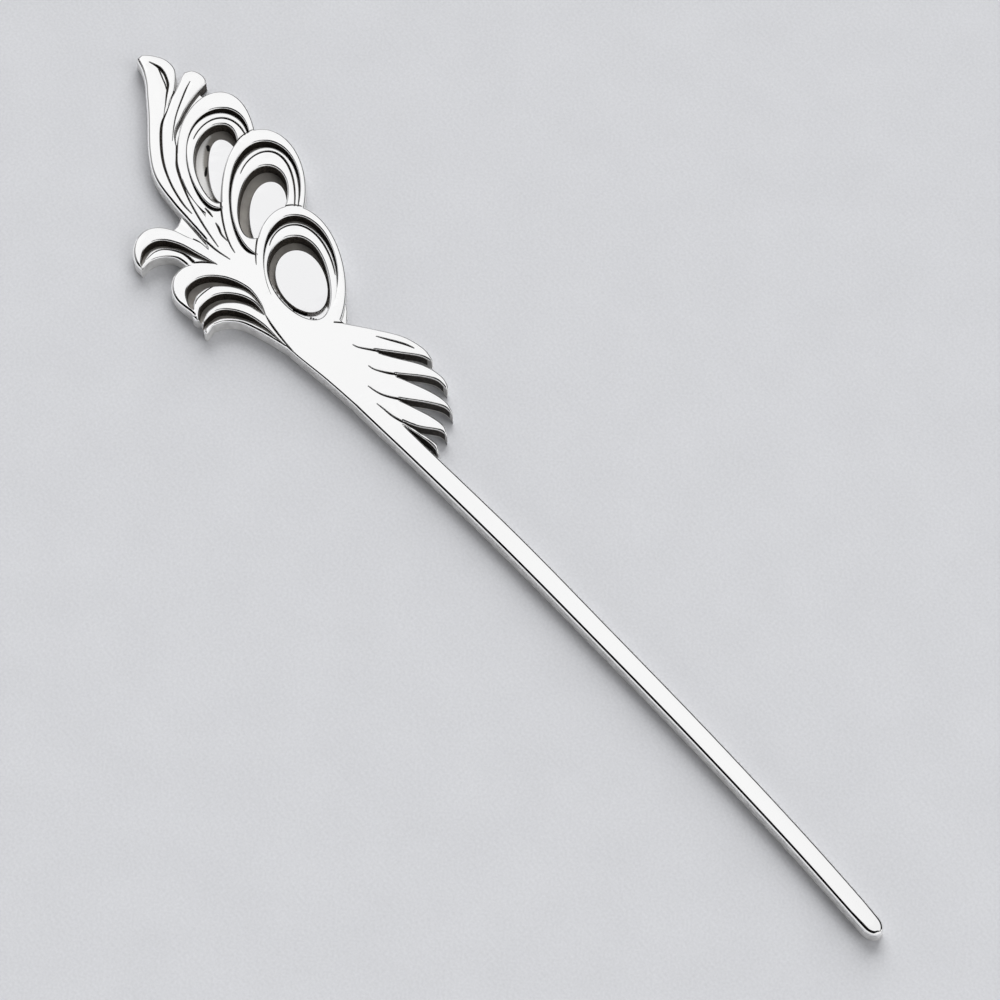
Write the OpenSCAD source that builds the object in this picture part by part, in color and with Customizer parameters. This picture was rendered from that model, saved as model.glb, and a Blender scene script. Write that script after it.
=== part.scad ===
// A flat cast hairpin: a plume of three feather eyes, two scrolls and a small wing on a long stem.
// Millimetres. The pin lies on its flat back at z = 0, with its head towards -X and its tip towards +X.

/* [Overall] */
// Thickness of the casting, from its flat back to the ridge tops
thickness = 2.6; // [2.2:0.1:3.4]
// Place of the stem's tip along its length
tip_x = 88.5; // [87:0.1:92]
// Height of the low webs that join neighbouring feathers
web_height = 1.6; // [1.2:0.1:2]

/* [Relief] */
// Height of the floor in the wide grooves
groove_floor = 0.9; // [0.7:0.1:1.6]
// Height of the floor in the fine engraved lines
line_floor = 2.0; // [1.7:0.1:2.1]
// Height of the floor in the eye pockets
pocket_floor = 0.5; // [0.4:0.1:0.8]
// Height of the polished faces of the eye discs
disc_top = 1.2; // [1:0.1:1.8]
// Space between an eye disc and the walls around it
disc_gap = 0.1; // [0.05:0.05:0.3]

/* [Smoothness] */
// Straight pieces between two neighbouring points of a table
curve_steps = 4; // [3:1:6]
// Straight pieces around an oval
oval_steps = 72; // [48:12:120]
// Straight pieces along a line that follows an oval
arc_steps = 24; // [12:4:48]

/* [Hidden] */

silver = "gainsboro";
bright_silver = "whitesmoke";
// How far a cutter runs past the face that it opens
over = 1;
// Half width that is left at the faded ends of a line along an oval
line_end = 0.02;
// Moves the tables' own frame so that the origin is under the middle of the whole pin
centre_shift = [0.35, -0.15, 0];

// Columns of an oval: centre x, centre y, half length, half width, tilt, taper to its far end, bend
// Rows of an eye: rim, groove outside, groove inside, fine ring line, pocket, disc
eye_upper = [
    [-67.8, 5.7, 11.3, 6.1, -37, 0.06, 0.7],
    [-67.3, 5.4, 8.9, 4.7, -42, 0.23, 0.3],
    [-67.2, 5.3, 8.3, 4.6, -41, 0.24, 0.3],
    [-68.6, 6.9, 5.2, 4.3, -46, -0.07, -0.1],
    [-67.0, 4.7, 6.8, 3.1, -41, 0.25, 0.7],
    [-65.6, 5.4, 5.6, 2.6, -37, 0.04, -0.5],
];
eye_middle = [
    [-57.8, 6.5, 11.8, 6.4, -42, 0.07, -0.6],
    [-57.5, 6.5, 9.8, 5.3, -43, 0.12, -0.5],
    [-57.1, 6.2, 9.3, 5.1, -42, 0.10, 0.0],
    [-58.0, 7.4, 7.0, 4.2, -32, 0.08, 0.6],
    [-57.2, 5.8, 6.3, 3.5, -52, 0.12, -0.2],
    [-55.6, 5.4, 5.8, 2.8, -47, 0.20, 0.0],
];
eye_lower = [
    [-44.1, 2.6, 11.6, 6.4, -27, 0.06, 0.2],
    [-44.7, 2.9, 9.1, 5.4, -30, 0.00, 0.0],
    [-43.6, 2.1, 9.3, 5.3, -30, 0.07, -0.1],
    [-44.6, 3.4, 7.4, 4.3, -14, 0.16, 0.4],
    [-43.4, 1.7, 7.3, 4.2, -21, 0.16, 0.5],
    [-43.4, 2.0, 5.6, 3.7, -18, 0.06, 0.2],
];
RIM = 0;
OUTSIDE = 1;
INSIDE = 2;
FINE = 3;
POCKET = 4;
DISC = 5;

// Outlines: each is a list of open curves, with a corner where one curve ends and the next begins
feather_a = [
    [[-88.7, 7], [-89.1, 7.25], [-89.2, 7.8], [-89, 8.4], [-88.2, 9.3], [-86.5, 10.4], [-84.8, 10.7],
     [-83.2, 10.2], [-81, 8.2], [-79.5, 5.9], [-76, 2]],
    [[-66, -1.5], [-58, -2.5], [-54, -4]],
    [[-57, -4.9], [-61.5, -4.75], [-66, -4.6], [-71, -3.9], [-75.1, -1.8], [-80.2, 2.1], [-83, 4.1],
     [-85, 5.5], [-87, 6.5], [-88.7, 7]],
];
feather_b = [
    [[-82.4, 11.3], [-81.9, 12.4], [-80.5, 13], [-79.4, 12.95], [-78.8, 12.6]],
    [[-78.8, 12.6], [-78.4, 10.5], [-77.7, 8.3], [-76.6, 6], [-74.5, 3], [-68, 0]],
    [[-68, -3], [-76, 0.5], [-79.5, 5.5], [-81, 8.5], [-82.2, 10.5]],
];
body = [
    [[-57.6, -4.9], [-54.5, -6.4], [-50, -6.6], [-44, -7], [-36, -7.2], [-28, -6.3],
     [-22, -5.8], [-16, -5.35]],
    [[-14.6, -2.4], [-15.2, -1.9], [-18.3, 0], [-21.6, 2.2], [-26.3, 2.7], [-33.4, 1.9]],
    [[-38, 2], [-48, 2], [-58, 1], [-62.5, -1]],
];
scroll_one = [
    [[-53, -5.2], [-58, -5.5], [-60, -6.4], [-62.3, -7.3], [-64.2, -8.8], [-65.1, -10.8], [-64.7, -12.7],
     [-63.4, -14.3], [-61.6, -15.2], [-60, -15.2]],
    [[-60, -15.2], [-60.3, -13.3], [-59.6, -11.4], [-58.2, -10.1], [-56, -9.7]],
    [[-54, -8]],
];
scroll_two = [
    [[-52, -5], [-54.4, -6.8], [-55.8, -8.7], [-56.5, -10.7], [-56, -12.6], [-54.6, -14], [-52.5, -14.6],
     [-49.5, -14.2], [-48.9, -14.45], [-48.2, -14.4], [-47.7, -13.9]],
    [[-47.7, -13.9], [-47, -14.1], [-46.4, -14.5], [-45.8, -14.75], [-45.4, -14.6],
     [-45.4, -14.1], [-45.8, -13]],
    [[-45.8, -13], [-45.2, -11.4], [-43.6, -9.8], [-41, -8.7], [-38, -7.8], [-34, -6.8]],
    [[-36, -5], [-44, -4]],
];
fingers = [
    [
        [[-35, 0.5], [-33.4, 1.9], [-29.5, 4.8], [-26, 7.1], [-22.6, 8.1], [-20.4, 7.9], [-19.9, 7.5]],
        [[-19.9, 7.5], [-21.8, 6.8], [-24.4, 4.7], [-29.5, 0.5], [-33, -1.5]],
    ],
    [
        [[-32, -0.2], [-29.9, 0.5], [-25, 3.3], [-20.5, 6.2], [-17.4, 7.1], [-15.5, 6.8], [-14.8, 6.1]],
        [[-14.8, 6.1], [-17, 6.1], [-19, 4.9], [-22, 2.2], [-24.7, 0.3], [-30, -2]],
    ],
    [
        [[-29.5, -1.2], [-25.2, 0.3], [-20, 2.75], [-16, 4.35], [-13.5, 4.85], [-11.9, 4.5], [-11.1, 4]],
        [[-11.1, 4], [-13, 4], [-15.3, 2.6], [-18.5, 0], [-20.6, -1.4], [-26, -3]],
    ],
    [
        [[-26.2, -2.6], [-21, -1.25], [-17, 0.3], [-13, 1.7], [-10.6, 2], [-9, 1.1]],
        [[-9, 1.1], [-10.6, 1], [-13.4, -1.1], [-16.6, -2.5], [-20, -3.4]],
    ],
    [
        [[-21.5, -3.3], [-16.6, -2.5], [-13, -1.6], [-9.6, -0.7], [-8.5, -1], [-7.7, -1.7]],
        [[-7.7, -1.7], [-9.8, -1.4], [-14, -2.2], [-20, -3.8]],
    ],
];
// Low webs that fill the corners between neighbouring feathers
webs = [
    [[[-64, -4], [-63.5, -4.9], [-62.8, -6.1], [-62.7, -7.3]], [[-57, -6], [-57, -4]]],
    [[[-79.5, 11.3], [-78.1, 10.9], [-76.5, 11.3]], [[-71, 1], [-74, 1.5], [-77.5, 6]]],
    [[[-38, 5.5], [-36.2, 4.6], [-35.1, 3.9], [-34.2, 3.1], [-33.2, 2.2]], [[-33, 1], [-36, 1]]],
];

// Columns of a strand: x, y, half width. The stem runs from inside the head to its rounded tip
stem = [
    [-30, -4.4, 1.3],
    [-22, -4.2, 1.6],
    [-10, -3.65, 1.6],
    [10, -2.85, 1.66],
    [30, -2.57, 1.6],
    [50, -2.43, 1.57],
    [70, -2.65, 1.54],
    [86.4, -3.25, 1.5],
];
// Angles along the quarter ellipse that closes the tip, from its sides to its very end
tip_angles = [15, 30, 45, 60, 72, 82, 89];
// Wide grooves in the two scrolls
scroll_grooves = [
    [[-53.3, -6.1, 0.03], [-56.4, -7.4, 0.25], [-59.5, -8.6, 0.45], [-61.7, -10.4, 0.62],
     [-62.1, -12.4, 0.5], [-61.1, -14.2, 0.2], [-60.5, -14.8, 0.03]],
    [[-42, -6.1, 0.03], [-44, -5.5, 0.1], [-47, -5.4, 0.22], [-50, -6.8, 0.58], [-52.1, -9.1, 0.9],
     [-52.4, -11.5, 0.98], [-51, -13.1, 0.38], [-49.7, -13.6, 0.03]],
    [[-42.1, -6.2, 0.03], [-44.8, -6.4, 0.38], [-47.1, -7.6, 0.62], [-48.7, -9.6, 0.76], [-48.9, -12, 0.68],
     [-47.9, -13.6, 0.35], [-47, -14.3, 0.05]],
    [[-36.8, -7.2, 0.03], [-40.8, -7.6, 0.2], [-44.2, -8.8, 0.5], [-46.5, -10.9, 0.68],
     [-46.8, -13.2, 0.45], [-46.2, -14.6, 0.1]],
];
// Fine engraved lines on the feathers, the body, the scrolls and the wing
engraved_lines = [
    [[-87.4, 8.3, 0.03], [-86.4, 8.65, 0.12], [-85.4, 8.85, 0.22], [-84.2, 8.75, 0.18], [-83.2, 8.4, 0.17],
     [-82.4, 8, 0.17], [-81.7, 7.35, 0.14], [-80.9, 6.5, 0.1], [-79.8, 5.4, 0.05], [-78.4, 3.9, 0.02]],
    [[-85.6, 8.75, 0.1], [-84.6, 8.35, 0.07], [-83.5, 7.95, 0.06], [-82.6, 7.65, 0.07],
     [-81.8, 7.25, 0.05]],
    [[-80.9, 8, 0.1], [-79, 5.2, 0.06], [-77.2, 2.5, 0.18], [-73, -0.7, 0.17], [-69, -2.5, 0.12],
     [-65, -3.4, 0.1], [-62.5, -3.5, 0.03]],
    [[-80.6, 10.9, 0.03], [-79.6, 9, 0.1], [-77.1, 5.2, 0.07], [-74.2, 2.2, 0.02]],
    [[-76.9, 6.9, 0.2], [-75.3, 4.3, 0.17], [-71.8, 1.1, 0.12], [-69.6, -0.4, 0.18], [-65, -2.2, 0.1],
     [-60, -3.4, 0.1], [-55.5, -4.1, 0.03]],
    [[-58.5, -4.9, 0.14], [-55.5, -4.7, 0.1], [-52.7, -4.1, 0.03]],
    [[-62, -1.4, 0.04], [-61, -1.4, 0.12], [-60, -1.5, 0.03]],
    [[-59, -1.8, 0.03], [-58, -2, 0.14], [-56.8, -2.4, 0.1], [-55.3, -2.4, 0.03]],
    [[-34.5, 0.8, 0.08], [-33.3, 2, 0.1]],
    [[-28.6, 4, 0.03], [-27, 5, 0.1], [-25.5, 5.95, 0.13], [-24.3, 6.6, 0.1], [-23.3, 7, 0.03]],
    [[-53.6, -6.2, 0.03], [-55, -7.4, 0.14], [-55.9, -8.6, 0.1]],
    [[-55.9, -8.5, 0.2], [-58.2, -8.8, 0.15], [-60.3, -10.2, 0.08], [-61.1, -11.8, 0.06],
     [-60.9, -13.6, 0.02]],
    [[-50, -7.1, 0.03], [-50.8, -8.5, 0.07], [-51, -10.3, 0.08], [-50.8, -12, 0.06], [-50.3, -12.8, 0.02]],
    [[-42, -6.1, 0.03], [-40, -6.5, 0.12], [-37, -6.8, 0.09], [-34.2, -6.9, 0.03]],
    [[-29.8, 0.5, 0.03], [-28.9, 0.85, 0.07], [-27.6, 1.8, 0.12], [-26.3, 2.85, 0.17], [-24.8, 4.1, 0.04]],
    [[-25.6, 0, 0.03], [-24.6, 0.25, 0.06], [-23.4, 0.95, 0.11], [-22.2, 1.85, 0.16], [-20.7, 3.2, 0.04]],
    [[-23.1, -2.2, 0.03], [-21.8, -1.95, 0.06], [-20.6, -1.55, 0.1], [-19.4, -0.85, 0.13],
     [-18.2, 0.05, 0.16], [-17, 1.05, 0.04]],
    [[-20, -3.1, 0.03], [-18.6, -2.9, 0.06], [-17, -2.7, 0.1], [-15.2, -2.15, 0.14], [-13.8, -1.45, 0.04]],
];
// Columns of a line along an oval: from angle, to angle, half width
fine_arc_upper = [108, 258, 0.1];
fine_arc_middle = [60, 238, 0.11];
fine_arc_lower = [62, 222, 0.1];
rim_arc_middle = [192, 326, 0.1];
rim_arc_lower = [159, 256, 0.09];

function on_curve(a, b, c, d, t) =
    0.5 * (2 * b + (c - a) * t + (2 * a - 5 * b + 4 * c - d) * t * t + (3 * b - a - 3 * c + d) * t * t * t);

// Points of a smooth curve through the rows of a table
function curve(rows) =
    let (last = len(rows) - 1)
    last < 1 ? rows : concat(
        [for (i = [0:last - 1], j = [0:curve_steps - 1])
            on_curve(rows[max(i - 1, 0)], rows[i], rows[i + 1], rows[min(i + 2, last)], j / curve_steps)],
        [rows[last]]);

function left_of(v) = [-v.y, v.x] / norm(v);

function strand_side(p, side) = [for (i = [0:len(p) - 1])
    let (ahead = p[min(i + 1, len(p) - 1)], behind = p[max(i - 1, 0)])
    [p[i].x, p[i].y] + side * p[i].z * left_of([ahead.x - behind.x, ahead.y - behind.y])];

function backwards(list) = [for (i = [len(list) - 1:-1:0]) list[i]];

function oval_point(o, angle) =
    let (
        u = o[2] * cos(angle),
        v = o[3] * sin(angle) * (1 - o[5] * cos(angle)) + o[6] * pow(cos(angle), 2)
    )
    [o[0] + u * cos(o[4]) - v * sin(o[4]), o[1] + u * sin(o[4]) + v * cos(o[4])];

function grown(o, by) = [o[0], o[1], o[2] + by, o[3] + by, o[4], o[5], o[6]];

module outline(sides) {
    polygon([for (side = sides) each curve(side)]);
}

module strand_plan(points) {
    polygon(concat(strand_side(points, 1), backwards(strand_side(points, -1))));
}

module strand(rows) {
    strand_plan(curve(rows));
}

module oval(o) {
    polygon([for (i = [0:oval_steps - 1]) oval_point(o, 360 * i / oval_steps)]);
}

// A line along part of an oval, widest in the middle and fading at both ends
module oval_line(o, arc) {
    strand_plan([for (i = [0:arc_steps])
        let (p = oval_point(o, arc[0] + (arc[1] - arc[0]) * i / arc_steps))
        [p.x, p.y, arc[2] * sqrt(sin(180 * i / arc_steps)) + line_end]]);
}

// The stem, which ends in a tip that is round in plan like a fingertip
module stem_outline() {
    end = stem[len(stem) - 1];
    tip = [for (a = tip_angles) [end.x + (tip_x - end.x) * sin(a), end.y, end.z * cos(a)]];
    strand_plan(concat(curve(stem), tip));
}

module high_plan() {
    outline(feather_a);
    outline(feather_b);
    outline(body);
    outline(scroll_one);
    outline(scroll_two);
    for (f = fingers) outline(f);
    oval(eye_upper[RIM]);
    oval(eye_middle[RIM]);
    oval(eye_lower[RIM]);
    stem_outline();
}

module crescent(eye) {
    difference() {
        oval(eye[OUTSIDE]);
        oval(eye[INSIDE]);
    }
}

// Everything that is cut down to the floor of the wide grooves
module groove_plan() {
    difference() {
        crescent(eye_upper);
        oval(eye_middle[RIM]);
    }
    difference() {
        crescent(eye_middle);
        oval(eye_lower[RIM]);
    }
    crescent(eye_lower);
    for (g = scroll_grooves) strand(g);
}

module pocket_plan() {
    difference() {
        oval(eye_upper[POCKET]);
        oval(eye_middle[RIM]);
    }
    difference() {
        oval(eye_middle[POCKET]);
        oval(eye_lower[RIM]);
    }
    oval(eye_lower[POCKET]);
}

module line_plan() {
    for (l = engraved_lines) strand(l);
    difference() {
        oval_line(eye_upper[FINE], fine_arc_upper);
        oval(eye_middle[RIM]);
    }
    difference() {
        oval_line(eye_middle[FINE], fine_arc_middle);
        oval(eye_lower[RIM]);
    }
    oval_line(eye_lower[FINE], fine_arc_lower);
    oval_line(eye_middle[RIM], rim_arc_middle);
    oval_line(eye_lower[RIM], rim_arc_lower);
}

module cut_down_to(floor_z) {
    translate([0, 0, floor_z]) linear_extrude(thickness - floor_z + over) children();
}

module pin_casting() {
    color(silver) translate(centre_shift) {
        difference() {
            linear_extrude(thickness) high_plan();
            cut_down_to(groove_floor) groove_plan();
            cut_down_to(pocket_floor) pocket_plan();
            cut_down_to(line_floor) line_plan();
        }
        for (w = webs) linear_extrude(web_height) outline(w);
    }
}

// An oval disc seated flat on its pocket's floor, kept clear of the walls and of any child
module eye_disc(eye) {
    color(bright_silver) translate(centre_shift + [0, 0, pocket_floor])
        linear_extrude(disc_top - pocket_floor)
        difference() {
            intersection() {
                oval(eye[DISC]);
                oval(grown(eye[POCKET], -disc_gap));
            }
            children();
        }
}

// The rim of the next eye lies over the far end of the upper two discs
module eye_disc_upper() {
    eye_disc(eye_upper) oval(grown(eye_middle[RIM], disc_gap));
}

module eye_disc_middle() {
    eye_disc(eye_middle) oval(grown(eye_lower[RIM], disc_gap));
}

module eye_disc_lower() {
    eye_disc(eye_lower);
}

pin_casting();
eye_disc_upper();
eye_disc_middle();
eye_disc_lower();
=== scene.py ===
from math import cos, pi, radians, sin, sqrt, tan

import bmesh
import bpy
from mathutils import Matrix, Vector
from mathutils.geometry import intersect_line_line_2d


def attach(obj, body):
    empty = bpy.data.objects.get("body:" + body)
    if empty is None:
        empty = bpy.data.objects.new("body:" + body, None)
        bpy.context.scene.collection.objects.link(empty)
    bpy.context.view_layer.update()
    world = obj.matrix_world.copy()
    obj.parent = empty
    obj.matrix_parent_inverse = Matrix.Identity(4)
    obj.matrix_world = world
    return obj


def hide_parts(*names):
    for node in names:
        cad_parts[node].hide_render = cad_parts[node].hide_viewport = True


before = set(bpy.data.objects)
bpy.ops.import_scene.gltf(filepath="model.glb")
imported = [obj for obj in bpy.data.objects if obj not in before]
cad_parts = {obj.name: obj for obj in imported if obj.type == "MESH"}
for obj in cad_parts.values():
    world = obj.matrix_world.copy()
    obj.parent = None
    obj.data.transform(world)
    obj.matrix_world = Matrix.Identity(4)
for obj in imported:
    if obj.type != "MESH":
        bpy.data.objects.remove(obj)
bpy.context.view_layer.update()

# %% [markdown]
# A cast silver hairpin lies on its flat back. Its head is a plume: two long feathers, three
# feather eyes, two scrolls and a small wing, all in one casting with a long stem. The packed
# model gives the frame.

MM = 0.001

# %% [markdown]
# The camera looks down steeply, across the pin, through a long lens, so the stem hardly
# tapers in the picture. It could be placed by typing in a location and three angles. Here it
# stands on a line from a point near the middle of the pin, so each number has a plain meaning.

# %% Camera
VIEW_AZIMUTH, VIEW_ELEVATION = radians(49), radians(65)
VIEW_DISTANCE = 609.2 * MM
VIEW_TARGET = Vector((3.15, 0.95, 0)) * MM
view_back = Vector((
    sin(VIEW_AZIMUTH) * cos(VIEW_ELEVATION),
    -cos(VIEW_AZIMUTH) * cos(VIEW_ELEVATION),
    sin(VIEW_ELEVATION),
))
camera = bpy.data.objects.new("camera", bpy.data.cameras.new("camera"))
camera.data.lens, camera.data.sensor_width = 150, 36
camera.location = VIEW_TARGET + view_back * VIEW_DISTANCE
camera.rotation_euler = view_back.to_track_quat("Z", "Y").to_euler()
bpy.context.scene.collection.objects.link(camera)
bpy.context.scene.camera = camera
print("camera at, mm:", [round(v / MM, 1) for v in camera.location])

# %% [markdown]
# The shapes come from a few short tables in millimetres, the same as the model's. A smooth
# curve through the rows of a table gives an outline, and a formula gives the egg-shaped ovals
# of the eyes. The tables have their own frame, which is moved once, when points become metres.

# %% Curves
CURVE_STEPS = 8


def curve(rows, steps=CURVE_STEPS):
    """Points of a smooth curve through the rows of a table."""
    rows = [Vector(row) for row in rows]
    last = len(rows) - 1
    points = []
    for i in range(last):
        a, b, c, d = rows[max(i - 1, 0)], rows[i], rows[i + 1], rows[min(i + 2, last)]
        for step in range(steps):
            t = step / steps
            points.append(0.5 * (2 * b + (c - a) * t + (2 * a - 5 * b + 4 * c - d) * t ** 2
                                 + (3 * b - a - 3 * c + d) * t ** 3))
    return points + [rows[last]]


def outline(sides):
    """One closed outline from open curves that meet in corners."""
    return [p for side in sides for p in (curve(side) if len(side) > 1 else [Vector(side[0])])]


print("points of a curve through 5 rows:", len(curve([[x, 0] for x in range(5)])))

# %% Ovals
OVAL_STEPS = 144


def oval_point(oval, angle):
    """A point of an oval: centre x, y, half length, half width, tilt, taper, bend."""
    x, y, half_length, half_width, tilt, taper, bend = oval
    u = half_length * cos(angle)
    v = half_width * sin(angle) * (1 - taper * cos(angle)) + bend * cos(angle) ** 2
    turn = radians(tilt)
    return Vector((x + u * cos(turn) - v * sin(turn), y + u * sin(turn) + v * cos(turn)))


def oval_loop(oval, grow=0):
    """The outline of an oval, grown by a distance."""
    oval = oval[:2] + [oval[2] + grow, oval[3] + grow] + oval[4:]
    return [oval_point(oval, 2 * pi * i / OVAL_STEPS) for i in range(OVAL_STEPS)]


print("points of an oval:", OVAL_STEPS)


# %% Strands
def left_of(v):
    """The direction to the left of a way in plan."""
    return Vector((-v.y, v.x)).normalized()


def strand_sides(rows):
    """The left and the right side of a strand, whose rows are x, y and half width."""
    left, right = [], []
    for i, row in enumerate(rows):
        ahead, behind = rows[min(i + 1, len(rows) - 1)], rows[max(i - 1, 0)]
        side = left_of((ahead - behind).xy) * row.z
        left.append(row.xy + side)
        right.append(row.xy - side)
    return left, right


print("left of the way to +X:", left_of(Vector((1, 0)))[:])

# %% [markdown]
# A feather eye is a set of ovals inside one another: a raised rim, a groove, a ring with one
# fine line in it, and a dark pocket with a bright disc on its floor. Each oval could be drawn
# by hand, but they are all smooth and slightly egg-shaped, so seven numbers say it all: centre,
# half length and width, tilt, a taper towards the far end, and a slight bend.

# %% Tables of the eyes: rim, groove outside, groove inside, fine ring line, pocket, disc
RIM, OUTSIDE, INSIDE, FINE, POCKET, DISC = range(6)
eye_upper = [
    [-67.8, 5.7, 11.3, 6.1, -37, 0.06, 0.7],
    [-67.3, 5.4, 8.9, 4.7, -42, 0.23, 0.3],
    [-67.2, 5.3, 8.3, 4.6, -41, 0.24, 0.3],
    [-68.6, 6.9, 5.2, 4.3, -46, -0.07, -0.1],
    [-67.0, 4.7, 6.8, 3.1, -41, 0.25, 0.7],
    [-65.6, 5.4, 5.6, 2.6, -37, 0.04, -0.5],
]
eye_middle = [
    [-57.8, 6.5, 11.8, 6.4, -42, 0.07, -0.6],
    [-57.5, 6.5, 9.8, 5.3, -43, 0.12, -0.5],
    [-57.1, 6.2, 9.3, 5.1, -42, 0.10, 0.0],
    [-58.0, 7.4, 7.0, 4.2, -32, 0.08, 0.6],
    [-57.2, 5.8, 6.3, 3.5, -52, 0.12, -0.2],
    [-55.6, 5.4, 5.8, 2.8, -47, 0.20, 0.0],
]
eye_lower = [
    [-44.1, 2.6, 11.6, 6.4, -27, 0.06, 0.2],
    [-44.7, 2.9, 9.1, 5.4, -30, 0.00, 0.0],
    [-43.6, 2.1, 9.3, 5.3, -30, 0.07, -0.1],
    [-44.6, 3.4, 7.4, 4.3, -14, 0.16, 0.4],
    [-43.4, 1.7, 7.3, 4.2, -21, 0.16, 0.5],
    [-43.4, 2.0, 5.6, 3.7, -18, 0.06, 0.2],
]
print("eye rims, mm long:", [2 * eye[RIM][2] for eye in (eye_upper, eye_middle, eye_lower)])

# %% [markdown]
# The feathers, scrolls and barbs of the wing are flat shapes with long smooth sides and sharp
# corners. One smooth curve through all their points would round the corners off. So an outline
# is a list of open curves, and a corner is where one ends and the next begins.

# %% Tables of the outlines: the plume, the body and the scrolls
feather_a = [
    [[-88.7, 7], [-89.1, 7.25], [-89.2, 7.8], [-89, 8.4], [-88.2, 9.3], [-86.5, 10.4],
     [-84.8, 10.7], [-83.2, 10.2], [-81, 8.2], [-79.5, 5.9], [-76, 2]],
    [[-66, -1.5], [-58, -2.5], [-54, -4]],
    [[-57, -4.9], [-61.5, -4.75], [-66, -4.6], [-71, -3.9], [-75.1, -1.8], [-80.2, 2.1],
     [-83, 4.1], [-85, 5.5], [-87, 6.5], [-88.7, 7]],
]
feather_b = [
    [[-82.4, 11.3], [-81.9, 12.4], [-80.5, 13], [-79.4, 12.95], [-78.8, 12.6]],
    [[-78.8, 12.6], [-78.4, 10.5], [-77.7, 8.3], [-76.6, 6], [-74.5, 3], [-68, 0]],
    [[-68, -3], [-76, 0.5], [-79.5, 5.5], [-81, 8.5], [-82.2, 10.5]],
]
body = [
    [[-57.6, -4.9], [-54.5, -6.4], [-50, -6.6], [-44, -7], [-36, -7.2], [-28, -6.3],
     [-22, -5.8], [-16, -5.35]],
    [[-14.6, -2.4], [-15.2, -1.9], [-18.3, 0], [-21.6, 2.2], [-26.3, 2.7], [-33.4, 1.9]],
    [[-38, 2], [-48, 2], [-58, 1], [-62.5, -1]],
]
scroll_one = [
    [[-53, -5.2], [-58, -5.5], [-60, -6.4], [-62.3, -7.3], [-64.2, -8.8], [-65.1, -10.8],
     [-64.7, -12.7], [-63.4, -14.3], [-61.6, -15.2], [-60, -15.2]],
    [[-60, -15.2], [-60.3, -13.3], [-59.6, -11.4], [-58.2, -10.1], [-56, -9.7]],
    [[-54, -8]],
]
scroll_two = [
    [[-52, -5], [-54.4, -6.8], [-55.8, -8.7], [-56.5, -10.7], [-56, -12.6], [-54.6, -14],
     [-52.5, -14.6], [-49.5, -14.2], [-48.9, -14.45], [-48.2, -14.4], [-47.7, -13.9]],
    [[-47.7, -13.9], [-47, -14.1], [-46.4, -14.5], [-45.8, -14.75], [-45.4, -14.6], [-45.4, -14.1],
     [-45.8, -13]],
    [[-45.8, -13], [-45.2, -11.4], [-43.6, -9.8], [-41, -8.7], [-38, -7.8], [-34, -6.8]],
    [[-36, -5], [-44, -4]],
]
print("outlines of the plume:", len([feather_a, feather_b, body, scroll_one, scroll_two]))

# %% Tables of the outlines: the wing's five barbs and the low webs
barbs = [
    [
        [[-35, 0.5], [-33.4, 1.9], [-29.5, 4.8], [-26, 7.1], [-22.6, 8.1], [-20.4, 7.9],
         [-19.9, 7.5]],
        [[-19.9, 7.5], [-21.8, 6.8], [-24.4, 4.7], [-29.5, 0.5], [-33, -1.5]],
    ],
    [
        [[-32, -0.2], [-29.9, 0.5], [-25, 3.3], [-20.5, 6.2], [-17.4, 7.1], [-15.5, 6.8],
         [-14.8, 6.1]],
        [[-14.8, 6.1], [-17, 6.1], [-19, 4.9], [-22, 2.2], [-24.7, 0.3], [-30, -2]],
    ],
    [
        [[-29.5, -1.2], [-25.2, 0.3], [-20, 2.75], [-16, 4.35], [-13.5, 4.85], [-11.9, 4.5],
         [-11.1, 4]],
        [[-11.1, 4], [-13, 4], [-15.3, 2.6], [-18.5, 0], [-20.6, -1.4], [-26, -3]],
    ],
    [
        [[-26.2, -2.6], [-21, -1.25], [-17, 0.3], [-13, 1.7], [-10.6, 2], [-9, 1.1]],
        [[-9, 1.1], [-10.6, 1], [-13.4, -1.1], [-16.6, -2.5], [-20, -3.4]],
    ],
    [
        [[-21.5, -3.3], [-16.6, -2.5], [-13, -1.6], [-9.6, -0.7], [-8.5, -1], [-7.7, -1.7]],
        [[-7.7, -1.7], [-9.8, -1.4], [-14, -2.2], [-20, -3.8]],
    ],
]
webs = [
    [[[-64, -4], [-63.5, -4.9], [-62.8, -6.1], [-62.7, -7.3]], [[-57, -6], [-57, -4]]],
    [[[-79.5, 11.3], [-78.1, 10.9], [-76.5, 11.3]], [[-71, 1], [-74, 1.5], [-77.5, 6]]],
    [[[-38, 5.5], [-36.2, 4.6], [-35.1, 3.9], [-34.2, 3.1], [-33.2, 2.2]], [[-33, 1], [-36, 1]]],
]
print("barbs:", len(barbs), "webs:", len(webs))

# %% [markdown]
# The stem, the scrolls' grooves and the engraved lines are strands: a way to follow, and a
# width that grows and fades along it, as a graver's cut does. Three numbers a row are enough:
# x, y and half the width. The lines are cut where the photo shows a thin dark stroke.

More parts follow.
